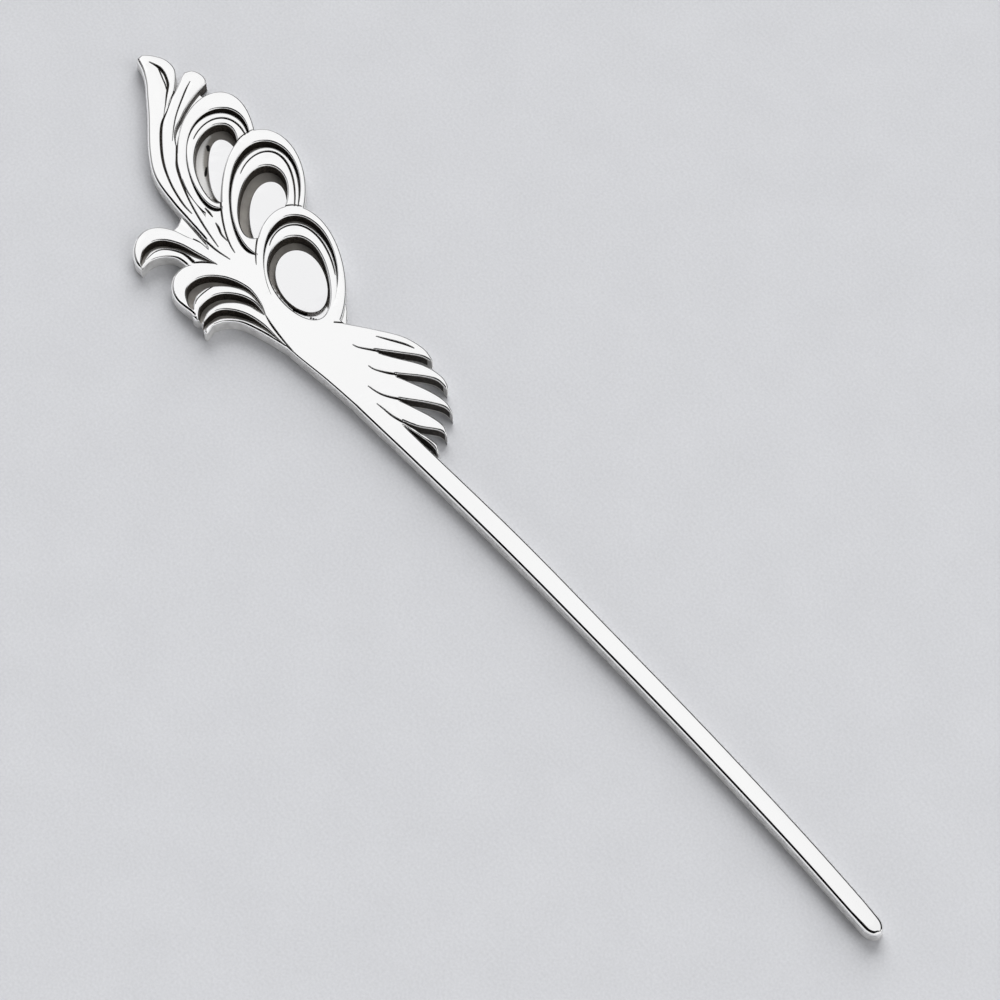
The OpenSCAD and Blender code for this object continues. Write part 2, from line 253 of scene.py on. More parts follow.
# %% Tables of the strands: x, y, half width
TIP_X = 88.5
stem = [
    [-30, -4.4, 1.3],
    [-22, -4.2, 1.6],
    [-10, -3.65, 1.6],
    [10, -2.85, 1.66],
    [30, -2.57, 1.6],
    [50, -2.43, 1.57],
    [70, -2.65, 1.54],
    [86.4, -3.25, 1.5],
]
scroll_grooves = [
    [[-53.3, -6.1, 0.03], [-56.4, -7.4, 0.25], [-59.5, -8.6, 0.45], [-61.7, -10.4, 0.62],
     [-62.1, -12.4, 0.5], [-61.1, -14.2, 0.2], [-60.5, -14.8, 0.03]],
    [[-42, -6.1, 0.03], [-44, -5.5, 0.1], [-47, -5.4, 0.22], [-50, -6.8, 0.58], [-52.1, -9.1, 0.9],
     [-52.4, -11.5, 0.98], [-51, -13.1, 0.38], [-49.7, -13.6, 0.03]],
    [[-42.1, -6.2, 0.03], [-44.8, -6.4, 0.38], [-47.1, -7.6, 0.62], [-48.7, -9.6, 0.76],
     [-48.9, -12, 0.68], [-47.9, -13.6, 0.35], [-47, -14.3, 0.05]],
    [[-36.8, -7.2, 0.03], [-40.8, -7.6, 0.2], [-44.2, -8.8, 0.5], [-46.5, -10.9, 0.68],
     [-46.8, -13.2, 0.45], [-46.2, -14.6, 0.1]],
]
engraved_lines = [
    [[-87.4, 8.3, 0.03], [-86.4, 8.65, 0.12], [-85.4, 8.85, 0.22], [-84.2, 8.75, 0.18],
     [-83.2, 8.4, 0.17], [-82.4, 8, 0.17], [-81.7, 7.35, 0.14], [-80.9, 6.5, 0.1],
     [-79.8, 5.4, 0.05], [-78.4, 3.9, 0.02]],
    [[-85.6, 8.75, 0.1], [-84.6, 8.35, 0.07], [-83.5, 7.95, 0.06], [-82.6, 7.65, 0.07],
     [-81.8, 7.25, 0.05]],
    [[-80.9, 8, 0.1], [-79, 5.2, 0.06], [-77.2, 2.5, 0.18], [-73, -0.7, 0.17], [-69, -2.5, 0.12],
     [-65, -3.4, 0.1], [-62.5, -3.5, 0.03]],
    [[-80.6, 10.9, 0.03], [-79.6, 9, 0.1], [-77.1, 5.2, 0.07], [-74.2, 2.2, 0.02]],
    [[-76.9, 6.9, 0.2], [-75.3, 4.3, 0.17], [-71.8, 1.1, 0.12], [-69.6, -0.4, 0.18],
     [-65, -2.2, 0.1], [-60, -3.4, 0.1], [-55.5, -4.1, 0.03]],
    [[-58.5, -4.9, 0.14], [-55.5, -4.7, 0.1], [-52.7, -4.1, 0.03]],
    [[-62, -1.4, 0.04], [-61, -1.4, 0.12], [-60, -1.5, 0.03]],
    [[-59, -1.8, 0.03], [-58, -2, 0.14], [-56.8, -2.4, 0.1], [-55.3, -2.4, 0.03]],
    [[-34.5, 0.8, 0.08], [-33.3, 2, 0.1]],
    [[-28.6, 4, 0.03], [-27, 5, 0.1], [-25.5, 5.95, 0.13], [-24.3, 6.6, 0.1], [-23.3, 7, 0.03]],
    [[-53.6, -6.2, 0.03], [-55, -7.4, 0.14], [-55.9, -8.6, 0.1]],
    [[-55.9, -8.5, 0.2], [-58.2, -8.8, 0.15], [-60.3, -10.2, 0.08], [-61.1, -11.8, 0.06],
     [-60.9, -13.6, 0.02]],
    [[-50, -7.1, 0.03], [-50.8, -8.5, 0.07], [-51, -10.3, 0.08], [-50.8, -12, 0.06],
     [-50.3, -12.8, 0.02]],
    [[-42, -6.1, 0.03], [-40, -6.5, 0.12], [-37, -6.8, 0.09], [-34.2, -6.9, 0.03]],
    [[-29.8, 0.5, 0.03], [-28.9, 0.85, 0.07], [-27.6, 1.8, 0.12], [-26.3, 2.85, 0.17],
     [-24.8, 4.1, 0.04]],
    [[-25.6, 0, 0.03], [-24.6, 0.25, 0.06], [-23.4, 0.95, 0.11], [-22.2, 1.85, 0.16],
     [-20.7, 3.2, 0.04]],
    [[-23.1, -2.2, 0.03], [-21.8, -1.95, 0.06], [-20.6, -1.55, 0.1], [-19.4, -0.85, 0.13],
     [-18.2, 0.05, 0.16], [-17, 1.05, 0.04]],
    [[-20, -3.1, 0.03], [-18.6, -2.9, 0.06], [-17, -2.7, 0.1], [-15.2, -2.15, 0.14],
     [-13.8, -1.45, 0.04]],
]
# A cut that parts a low web from its neighbour
web_line = [[-61.9, -7.1, 0.1], [-59.8, -6.3, 0.12], [-57.8, -5.55, 0.1]]
# Lines along an oval: the oval, from angle, to angle, half width
fine_line_upper = (eye_upper[FINE], 108, 258, 0.1)
fine_line_middle = (eye_middle[FINE], 60, 238, 0.11)
fine_line_lower = (eye_lower[FINE], 62, 222, 0.1)
rim_line_middle = (eye_middle[RIM], 192, 326, 0.1)
rim_line_lower = (eye_lower[RIM], 159, 256, 0.09)
print("engraved lines:", len(engraved_lines), "scroll grooves:", len(scroll_grooves))

# %% [markdown]
# A cast and polished edge is never sharp: the wheel rounds it over, and that rounding draws
# the thin dark and bright lines along every rim in the picture. A bevel on narrow, pointed
# outlines would run over itself. So each plate is an outline that is extruded ring by ring,
# and each ring moves in only as far as the plate has room: a ball that touches the outline
# at that point, and no other part of it, sets the limit. Tips then thin out to a soft point.

# %% The outline and the way into it
SAME_POINT = 0.01


def clean_loop(points):
    """The outline anticlockwise, without doubled points."""
    loop = [p.xy for i, p in enumerate(points) if (p.xy - points[i - 1].xy).length > SAME_POINT]
    area = sum(p.x * q.y - q.x * p.y for p, q in zip(loop, loop[1:] + loop[:1]))
    return loop if area > 0 else loop[::-1]


def inward(loop):
    """For each point of an outline, the direction into the plate."""
    count = len(loop)
    ways = []
    for i, p in enumerate(loop):
        before = left_of(p - loop[i - 1])
        after = left_of(loop[(i + 1) % count] - p)
        ways.append((before + after).normalized())
    return ways


print("outline points of the long feather:", len(clean_loop(outline(feather_a))))

# %% Room for the rounding
# A ring uses a little less than the room it has, and where it would cross itself it is held
# back step by step
ROOM_USED = 0.96
HOLD_BACK = 0.8
HOLD_BACK_TRIES = 40
TINY = 1e-6


def crossed(ring):
    """The numbers of the points next to a place where a ring crosses itself."""
    count = len(ring)
    found = set()
    for i in range(count - 2):
        for j in range(i + 2, count - (i == 0)):
            if intersect_line_line_2d(ring[i], ring[i + 1], ring[j], ring[(j + 1) % count]):
                found |= {i, i + 1, j, (j + 1) % count}
    return found


def room(loop, ways, reach):
    """How far each point can move in before it meets the rest of the outline."""
    limits = []
    for p, way in zip(loop, ways):
        free = reach
        for q in loop:
            ahead = (q - p).dot(way)
            if ahead > TINY:
                free = min(free, ROOM_USED * (q - p).length_squared / (2 * ahead))
        limits.append(free)
    # At sharp corners the points still get past each other, so they are held back
    for _ in range(HOLD_BACK_TRIES):
        found = crossed([p + way * free for p, way, free in zip(loop, ways, limits)])
        for i in found:
            limits[i] *= HOLD_BACK
        if not found:
            break
    return limits


barb = clean_loop(outline(barbs[0]))
print("narrowest room in the first barb, mm:", round(min(room(barb, inward(barb), 0.3)), 3))

# %% Extruding ring by ring
# The middle of the tables lies here in the shared frame, in mm
CENTRE_SHIFT = Vector((0.35, -0.15, 0))


def metres(p, z):
    """A point of the tables, at a height, in metres in the shared frame."""
    return (Vector((p.x, p.y, z)) + CENTRE_SHIFT) * MM


def first_face(bm, spots):
    """A face whose corners keep their number while it is extruded."""
    place = bm.verts.layers.int.new("place")
    verts = [bm.verts.new(spot) for spot in spots]
    for i, vert in enumerate(verts):
        vert[place] = i
    return bm.faces.new(verts)


def draw_out(bm, face, spots, finish):
    """Extrude a face and put its corner number i on spots[i]. finish(i) is for side number i."""
    place = bm.verts.layers.int["place"]
    is_first = len(bm.faces) == 1
    made = bmesh.ops.extrude_face_region(bm, geom=[face])["geom"]
    end = [g for g in made if isinstance(g, bmesh.types.BMFace)][0]
    # The first face closes the bottom, and each later one is now inside
    if not is_first:
        bm.faces.remove(face)
    for vert in end.verts:
        vert.co = spots[vert[place]]
    for edge in end.edges:
        low, high = sorted(v[place] for v in edge.verts)
        number = high if (low, high) == (0, len(spots) - 1) else low
        for side in edge.link_faces:
            if side is not end:
                side.material_index = finish(number)
    return end


print("the tables' middle in the shared frame, m:", metres(Vector((0, 0)), 0)[:])

# %% From mesh to object
# Corners nearer than this, in mm, become one
WELD, FINE_WELD = 0.002, 0.0005


def to_object(bm, name, weld=WELD):
    """Close a mesh up, turn its faces outwards and make it an object."""
    bm.verts.layers.int.remove(bm.verts.layers.int["place"])
    bmesh.ops.remove_doubles(bm, verts=bm.verts, dist=weld * MM)
    bmesh.ops.dissolve_degenerate(bm, edges=bm.edges, dist=weld * MM)
    bmesh.ops.triangulate(bm, faces=[f for f in bm.faces if len(f.verts) > 4])
    bmesh.ops.recalc_face_normals(bm, faces=bm.faces)
    mesh = bpy.data.meshes.new(name)
    bm.to_mesh(mesh)
    bm.free()
    piece = bpy.data.objects.new(name, mesh)
    bpy.context.scene.collection.objects.link(piece)
    return piece


print("welds, mm:", WELD, "for plates and hollows,", FINE_WELD, "for grooves")

# %% A plate
# DARK is the oxide of the cuts, which also paints in their shade
POLISHED, WALL, DARK, FLOOR = range(4)
THICKNESS = 2.6
FOOT = 0.12
SHOULDER_STEPS = 5


def plate(name, points, shoulder, foot=FOOT, base=0, top=THICKNESS, wall=WALL, sill=0):
    """A plate with its top edge rounded over by shoulder, which may change along the outline,
    and its bottom edge by foot. The wall's finish may change too, and below sill it is bright."""
    loop = clean_loop(points)
    ways = inward(loop)
    over = [shoulder(p, way) if callable(shoulder) else shoulder for p, way in zip(loop, ways)]
    under = [foot] * len(loop)
    limits = room(loop, ways, max(over + under))
    side = wall if callable(wall) else (lambda i: wall)

    def ring(angle, radius, is_top):
        spots = []
        for p, way, r, free in zip(loop, ways, radius, limits):
            r = min(r, free)
            rise = r * (1 - sin(angle))
            height = top - rise if is_top else base + rise
            spots.append(metres(p + way * r * (1 - cos(angle)), height))
        return spots

    bm = bmesh.new()
    steps = [pi / 2 * k / SHOULDER_STEPS for k in range(SHOULDER_STEPS + 1)]
    low = (lambda i: WALL) if sill else side
    face = first_face(bm, ring(steps[-1], under, False))
    for angle in steps[-2::-1]:
        face = draw_out(bm, face, ring(angle, under, False), low)
    if sill:
        face = draw_out(bm, face, [metres(p, base + sill) for p in loop], low)
    for k, angle in enumerate(steps):
        face = draw_out(bm, face, ring(angle, over, True), side if k == 0 else lambda i: POLISHED)
    return to_object(bm, name)


print("a plate has", 2 * SHOULDER_STEPS + 2, "rings, and is", THICKNESS, "mm thick")

# %% [markdown]
# Grooves and pockets are cut with tools that have the same rounding the other way up: their
# walls flare outwards near the top, so what is left standing has a rounded edge. Each side
# of a tool carries the finish that it leaves behind, bright, dark or satin, through the cut.

# %% The flare of a cutter
CLEAR = 0.05
ABOVE = 0.5
FLARE_STEPS = 5
FLARE_END = radians(80)


def flare(radius):
    """Pairs of how far out and how high, from a wall's top over its rounded edge to the air."""
    pairs = []
    for k in range(FLARE_STEPS + 1):
        angle = FLARE_END * k / FLARE_STEPS
        pairs.append((radius * (1 - cos(angle)), THICKNESS - radius * (1 - sin(angle))))
    out, height = pairs[-1]
    clear = THICKNESS + CLEAR
    out += (clear - height) / tan(pi / 2 - FLARE_END)
    return pairs + [(out, clear), (out, THICKNESS + ABOVE)]


print("a 0.3 mm flare, out and up:", [(round(out, 2), round(up, 2)) for out, up in flare(0.3)])

# %% A cutter for a flat-floored hollow
# The walls lean out a little, as a casting's do so that it comes out of its mould
DRAFT = 0.1


def well(name, points, floor, shoulder):
    """A cutter for a hollow with an outline. Its shoulder may change along the outline."""
    loop = clean_loop(points)
    ways = inward(loop)
    flares = [flare(shoulder(p, way) if callable(shoulder) else shoulder)
              for p, way in zip(loop, ways)]
    bm = bmesh.new()
    face = first_face(bm, [metres(p + way * DRAFT, floor) for p, way in zip(loop, ways)])
    face.material_index = FLOOR
    for k in range(len(flares[0])):
        spots = [metres(p - way * rows[k][0], rows[k][1])
                 for p, way, rows in zip(loop, ways, flares)]
        # The hollow's wall is dark with oxide, which also paints in its shade
        face = draw_out(bm, face, spots, lambda i: DARK if k == 0 else POLISHED)
    face.material_index = POLISHED
    return to_object(bm, name)


print("hollows lean out by", DRAFT, "mm from floor to top")

# %% A cutter for a groove
# A narrow cut is shallow: its depth is GROOVE_STEEP times half its width, and a little more
GROOVE_STEEP = 3.0
LEAST_DEPTH = 0.04
BOTTOM_WIDTH = 0.75
MOST_ROUNDED = 0.45


def groove(name, rows, floor, shoulder, steep=GROOVE_STEEP, floor_finish=DARK):
    """A cutter for a groove that narrows and runs out at its ends."""
    bm = bmesh.new()
    face = None
    for i, row in enumerate(rows):
        ahead, behind = rows[min(i + 1, len(rows) - 1)], rows[max(i - 1, 0)]
        side = left_of((ahead - behind).xy)
        half = row.z
        depth = min(THICKNESS - floor, steep * half + LEAST_DEPTH)
        edge = min(shoulder, MOST_ROUNDED * depth)
        section = [(BOTTOM_WIDTH * half, THICKNESS - depth)]
        section += [(half + out, height) for out, height in flare(edge)]
        half_count = len(section)
        section = section + [(-out, height) for out, height in section[::-1]]
        spots = [metres(row.xy + side * out, height) for out, height in section]

        # The groove's walls are dark with oxide, which also paints in their shade
        def finish(number):
            number = min(number, 2 * half_count - 2 - number)
            return floor_finish if number < 0 else DARK if number == 0 else POLISHED

        face = first_face(bm, spots) if face is None else draw_out(bm, face, spots, finish)
    return to_object(bm, name, weld=FINE_WELD)


print("a cut 0.2 mm wide is", round(GROOVE_STEEP * 0.1 + LEAST_DEPTH, 2), "mm deep")

# %% Lines along an oval
LINE_STEPS = 48
LINE_END = 0.02


def line_rows(oval, start, end, half_width):
    """Rows of a line along part of an oval, widest in the middle and fading at both ends."""
    rows = []
    for i in range(LINE_STEPS + 1):
        p = oval_point(oval, radians(start + (end - start) * i / LINE_STEPS))
        swell = sqrt(max(sin(pi * i / LINE_STEPS), 0))
        rows.append(Vector((p.x, p.y, half_width * swell + LINE_END)))
    return rows


print("rows of a line along an oval:", len(line_rows(*fine_line_upper)))

# %% [markdown]
# The real head is one casting whose parts lie over each other. It could be one mesh that is
# shaped by hand, but a change to one feather would then pull at its neighbours. So each part
# is a plate of its own, and Booleans join and cut them in the order in which they lie. Each
# face keeps the finish that it was given when its plate or cutter was made.

# %% Joining and cutting
SOLVER = "MANIFOLD"


def work(piece, tool, operation):
    """Join a tool to a piece, or cut it away, and take the tool off the bench."""
    cut = piece.modifiers.new(tool.name, "BOOLEAN")
    cut.operation, cut.solver, cut.object = operation, SOLVER, tool
    seen = piece.evaluated_get(bpy.context.evaluated_depsgraph_get())
    mesh = bpy.data.meshes.new_from_object(seen)
    piece.modifiers.clear()
    old, piece.data = piece.data, mesh
    bpy.data.meshes.remove(old)
    bpy.data.meshes.remove(tool.data)


def measured(piece):
    """A piece's volume, faces and open edges, in words."""
    bm = bmesh.new()
    bm.from_mesh(piece.data)
    open_edges = sum(not e.is_manifold for e in bm.edges)
    size = bm.calc_volume() / MM ** 3
    bm.free()
    return f"{size:.1f} mm3, {len(piece.data.polygons)} faces, {open_edges} open edges"


print("Booleans are worked out by the solver", SOLVER)

# %% [markdown]
# How round an edge is decides how wide its dark and bright lines are. Most of the plume has
# fine edges. Its left side and the stem are rounder, and the tip rounder still, so that it
# doesn't scratch. One radius for all would be simpler, but the photo shows the difference.

# %% How round each edge is
EDGE, LEFT_EDGE, STEM_EDGE, TIP_EDGE = 0.3, 0.5, 0.52, 0.75
LEFT = Vector((-0.66, -0.75))
LEFT_FADE, STEM_FADE, TIP_FADE = (0.2, 0.8), (-40, 0), (83, 88)


def fade(x, start, end):
    """0 before start, 1 after end, smooth between them."""
    t = min(max((x - start) / (end - start), 0), 1)
    return t * t * (3 - 2 * t)


def left_edge(p, way):
    """The plume's outer edges are rounder where they face its left."""
    return EDGE + (LEFT_EDGE - EDGE) * fade(-way.dot(LEFT), *LEFT_FADE)


def stem_edge(p, way):
    """The stem is rounder than the plume, and its tip is round like a fingertip."""
    edge = EDGE + (STEM_EDGE - EDGE) * fade(p.x, *STEM_FADE)
    return edge + (TIP_EDGE - STEM_EDGE) * fade(p.x, *TIP_FADE)


print("stem's edge at its start and its tip, mm:",
      [round(stem_edge(Vector((x, 0)), None), 2) for x in (stem[0][0], TIP_X)])

# %% The stem's outline
TIP_STEPS = 12


def stem_loop():
    """The stem's outline, with a tip that is round in plan like a fingertip."""
    rows = curve(stem)
    end = rows[-1]
    for k in range(1, TIP_STEPS + 1):
        # The last step stops just short of the tip's end, which is left blunt
        a = pi / 2 * k / (TIP_STEPS + 0.2)
        rows.append(Vector((end.x + (TIP_X - end.x) * sin(a), end.y, end.z * cos(a))))
    left, right = strand_sides(rows)
    return right + left[::-1]


print("stem's outline:", len(stem_loop()), "points")


# %% Which walls are painted dark as shade
def dark_side(sides, number, skip=0):
    """The finish of a wall where one side of the outline is painted dark as shade, but for its
    first points.
    """
    loop = clean_loop(outline(sides))
    dark = {tuple(round(v, 4) for v in p.xy) for p in curve(sides[number])[skip:]}
    return lambda i: DARK if tuple(round(v, 4) for v in loop[i]) in dark else WALL


print("finish of the first barb's first wall:", dark_side(barbs[0], 1)(0))

# %% Lay the feathers, scrolls, wing and stem together
# A barb's wall that faces the camera is painted dark as shade, but for its first points and
# a bright strip at its foot
BARB_SILL = 0.5
BARB_BRIGHT_POINTS = 5

casting = plate("pin_casting_silver", outline(feather_a), left_edge)
# The second feather's wall that faces the camera is painted dark as shade
work(casting, plate("feather", outline(feather_b), EDGE, wall=dark_side(feather_b, 1)), "UNION")
work(casting, plate("rim", oval_loop(eye_upper[RIM]), EDGE), "UNION")
work(casting, plate("body", outline(body), stem_edge), "UNION")
for sides in (scroll_one, scroll_two):
    work(casting, plate("scroll", outline(sides), left_edge), "UNION")
for sides in barbs:
    work(casting, plate("barb", outline(sides), EDGE, sill=BARB_SILL,
                        wall=dark_side(sides, 1, BARB_BRIGHT_POINTS)), "UNION")
work(casting, plate("stem", stem_loop(), stem_edge), "UNION")
print("plates joined:", measured(casting))

# %% [markdown]
# Each eye is carved as a jeweller would build it up: sink the wide groove, stand the ring in
# it, engrave the ring and sink the pocket. The next eye's rim is then laid over the end of the
# last one, so the overlaps come out right without any trimming by hand.

# %% Eyes, each over the one before it
GROOVE_FLOOR, LINE_FLOOR, POCKET_FLOOR = 0.9, 2.0, 0.5
LINE_EDGE = 0.08
RING_BASE = 0.3
LEAST_LIP, LIP_SHARE = 0.05, 0.4


def lip(other):
    """A rounded edge that gets finer where a groove narrows towards its other side."""
    return lambda p, way: min(EDGE, LEAST_LIP + LIP_SHARE * min((p - q).length for q in other))


def carve_eye(piece, eye, fine_line):
    """Cut an eye's groove, stand its ring in it, engrave the ring and cut its pocket."""
    outside, inside = oval_loop(eye[OUTSIDE]), oval_loop(eye[INSIDE])
    work(piece, well("groove", outside, GROOVE_FLOOR, lip(inside)), "DIFFERENCE")
    # The ring's wall is dark with oxide, which also paints in the groove's shade
    work(piece, plate("ring", inside, lip(outside), base=RING_BASE, wall=DARK), "UNION")
    work(piece, groove("fine", line_rows(*fine_line), LINE_FLOOR, LINE_EDGE), "DIFFERENCE")
    work(piece, well("pocket", oval_loop(eye[POCKET]), POCKET_FLOOR, EDGE), "DIFFERENCE")


carve_eye(casting, eye_upper, fine_line_upper)
work(casting, plate("rim", oval_loop(eye_middle[RIM]), EDGE), "UNION")
carve_eye(casting, eye_middle, fine_line_middle)
work(casting, plate("rim", oval_loop(eye_lower[RIM]), EDGE), "UNION")
carve_eye(casting, eye_lower, fine_line_lower)
print("eyes carved:", measured(casting))

# %% [markdown]
# The scrolls have wide grooves with satin floors. The engraved lines are fine dark cuts, and
# the low webs fill the corners between neighbours. A line could be painted on, but a real cut
# has two rounded lips that catch the light, and that is what the eye reads as depth.

# %% Grooves of the scrolls, engraved lines and low webs
WEB_TOP, WEB_EDGE = 1.6, 0.2
WEB_LINE_FLOOR, WEB_LINE_STEEP = 1.1, 12

for rows in scroll_grooves:
    cutter = groove("scroll groove", curve(rows), GROOVE_FLOOR, EDGE, floor_finish=FLOOR)
    work(casting, cutter, "DIFFERENCE")
for rows in engraved_lines:
    work(casting, groove("line", curve(rows), LINE_FLOOR, LINE_EDGE), "DIFFERENCE")
for line in (rim_line_middle, rim_line_lower):
    work(casting, groove("line", line_rows(*line), LINE_FLOOR, LINE_EDGE), "DIFFERENCE")
for sides in webs:
    work(casting, plate("web", outline(sides), WEB_EDGE, top=WEB_TOP), "UNION")
cutter = groove("web line", curve(web_line), WEB_LINE_FLOOR, LINE_EDGE, WEB_LINE_STEEP)
work(casting, cutter, "DIFFERENCE")
print("casting:", measured(casting))

# %% [markdown]
# A bright disc lies on each pocket's floor, lower than the rim round it. It could be joined to
# the casting, but a clean dark line parts it all round, so it is a piece of its own: a plate
# that is cut back to its pocket, and to the rim of the next eye where that lies over it.

# %% Discs of the eyes
DISC_TOP = 1.2
DISC_GAP = 0.1
DISC_EDGE, DISC_FOOT = 0.15, 0.05
TRIM_EDGE = 0.1


def disc(name, eye, next_eye=None, satin_arc=(0, 0)):
    """A low polished oval on its pocket's floor, trimmed where the next eye's rim lies over it.
    Its wall is dark with oxide and painted shade, but for a part between two angles that
    keeps the satin finish."""
    first, last = (round(angle * OVAL_STEPS / 360) for angle in satin_arc)
    bright = {i % OVAL_STEPS for i in range(first, last)}
    piece = plate(name, oval_loop(eye[DISC]), DISC_EDGE, DISC_FOOT, POCKET_FLOOR, DISC_TOP,
                  lambda i: WALL if i in bright else DARK)
    pocket = oval_loop(eye[POCKET], -DISC_GAP)
    inside = plate("inside", pocket, TRIM_EDGE, foot=DISC_FOOT, wall=DARK)
    work(piece, inside, "INTERSECT")
    if next_eye:
        over = plate("over", oval_loop(next_eye[RIM], DISC_GAP), TRIM_EDGE, wall=DARK)
        work(piece, over, "DIFFERENCE")
    print(name, measured(piece))
    return piece


discs = [
    disc("eye_disc_upper_silver", eye_upper, eye_middle),
    disc("eye_disc_middle_silver", eye_middle, eye_lower),
    # The lower disc's wall stays satin between these angles, without painted shade
    disc("eye_disc_lower_silver", eye_lower, satin_arc=(-22, 62)),
]

# %% [markdown]
# Silver reflects nearly everything, so its finish is mostly the room around it. The plain
# tops are mirror polished, the outer walls keep a finer brushed satin, and the cuts are
# darkened with an oxide that is wiped off everything a finger can reach. That near black also
# stands for painted shade, in the cuts and on the walls of the barbs and the second feather
# that face the camera. On the pockets' floors, pale spots are painted light and black spots
# are painted dark reflections. Pictures of scratches and stains could do this, but noise that
# is sized in millimetres fits any shape and never repeats. Marks too fine to show are drawn
# wider, and a comment says so.

# %% Material helpers
# A Mix node has several inputs of one name: for colours, 6 and 7 go in and 2 comes out
def linear(code):
    """An sRGB hex colour as linear numbers with alpha."""
    values = [int(code[i:i + 2], 16) / 255 for i in (1, 3, 5)]
    return [v / 12.92 if v <= 0.04045 else ((v + 0.055) / 1.055) ** 2.4 for v in values] + [1]


def add(tree, kind, settings=None, links=None):
    """Add a node: settings go by name, and sockets, by name or number, get a value or a link."""
    node = tree.nodes.new(kind)
    for name, value in (settings or {}).items():
        setattr(node, name, value)
    for socket, value in (links or {}).items():
        if isinstance(value, bpy.types.NodeSocket):
            tree.links.new(value, node.inputs[socket])
        else:
            node.inputs[socket].default_value = value
    return node


def new_material(name):
    """A material with an empty node tree, and that tree."""
    material = bpy.data.materials.new(name)
    material.use_nodes = True
    material.node_tree.nodes.clear()
    return material, material.node_tree


print("mid grey is", round(linear("#808080")[0], 3), "when linear")


# %% Polished silver
def polished_silver(name, colour, shine, rub):
    """Silver polished on a wheel: a mirror with a faint slow wave and hair-fine rub marks."""
    material, tree = new_material(name)
    place = add(tree, "ShaderNodeTexCoord").outputs["Object"]
    # The wheel leaves waves a few millimetres long
    wave = add(tree, "ShaderNodeTexNoise", {}, {
        "Vector": place, "Scale": 1 / (5 * MM), "Detail": 1.0})
    # Rub marks run along the pin, drawn 0.25 mm wide so that they just show
    along = add(tree, "ShaderNodeMapping", {}, {"Vector": place, "Scale": (0.06, 1, 1)})
    marks = add(tree, "ShaderNodeTexNoise", {}, {
        "Vector": along.outputs[0], "Scale": 1 / (0.25 * MM), "Detail": 3.0, "Roughness": 0.6})
    rough = add(tree, "ShaderNodeMapRange", {}, {
        "Value": marks.outputs["Fac"], "From Min": 0.3, "From Max": 0.75,
        "To Min": shine, "To Max": shine + rub})
    soft = add(tree, "ShaderNodeBump", {}, {
        "Height": wave.outputs["Fac"], "Strength": 0.25, "Distance": 0.02 * MM})
    fine = add(tree, "ShaderNodeBump", {}, {
        "Height": marks.outputs["Fac"], "Strength": 0.1, "Distance": 0.002 * MM,
        "Normal": soft.outputs["Normal"]})
    shader = add(tree, "ShaderNodeBsdfPrincipled", {}, {
        "Base Color": linear(colour), "Metallic": 1.0, "Roughness": rough.outputs["Result"],
        "Normal": fine.outputs["Normal"]})
    add(tree, "ShaderNodeOutputMaterial", {}, {"Surface": shader.outputs["BSDF"]})
    return material


# Sterling silver off the polishing wheel: nearly white, and a clear mirror of the room
casting_finishes = [polished_silver("wheel polished silver", "#F8F8F7", 0.04, 0.05)]
print("finish of the tops:", casting_finishes[POLISHED].name)


# %% Satin and oxidised silver
def patches(tree, place, spots, soft):
    """A mask that is 1 in each spot of a table and fades to 0 over a soft edge, in mm."""
    mask = 0.0
    for x, y, radius in spots:
        from_spot = add(tree, "ShaderNodeVectorMath", {"operation": "DISTANCE"}, {
            0: place, 1: metres(Vector((x, y)), POCKET_FLOOR)})
        near = add(tree, "ShaderNodeMapRange", {"interpolation_type": "SMOOTHSTEP"}, {
            "Value": from_spot.outputs["Value"],
            "From Min": (radius + soft) * MM, "From Max": radius * MM})
        mask = add(tree, "ShaderNodeMath", {"operation": "MAXIMUM"}, {
            0: mask, 1: near.outputs["Result"]}).outputs["Value"]
    return mask


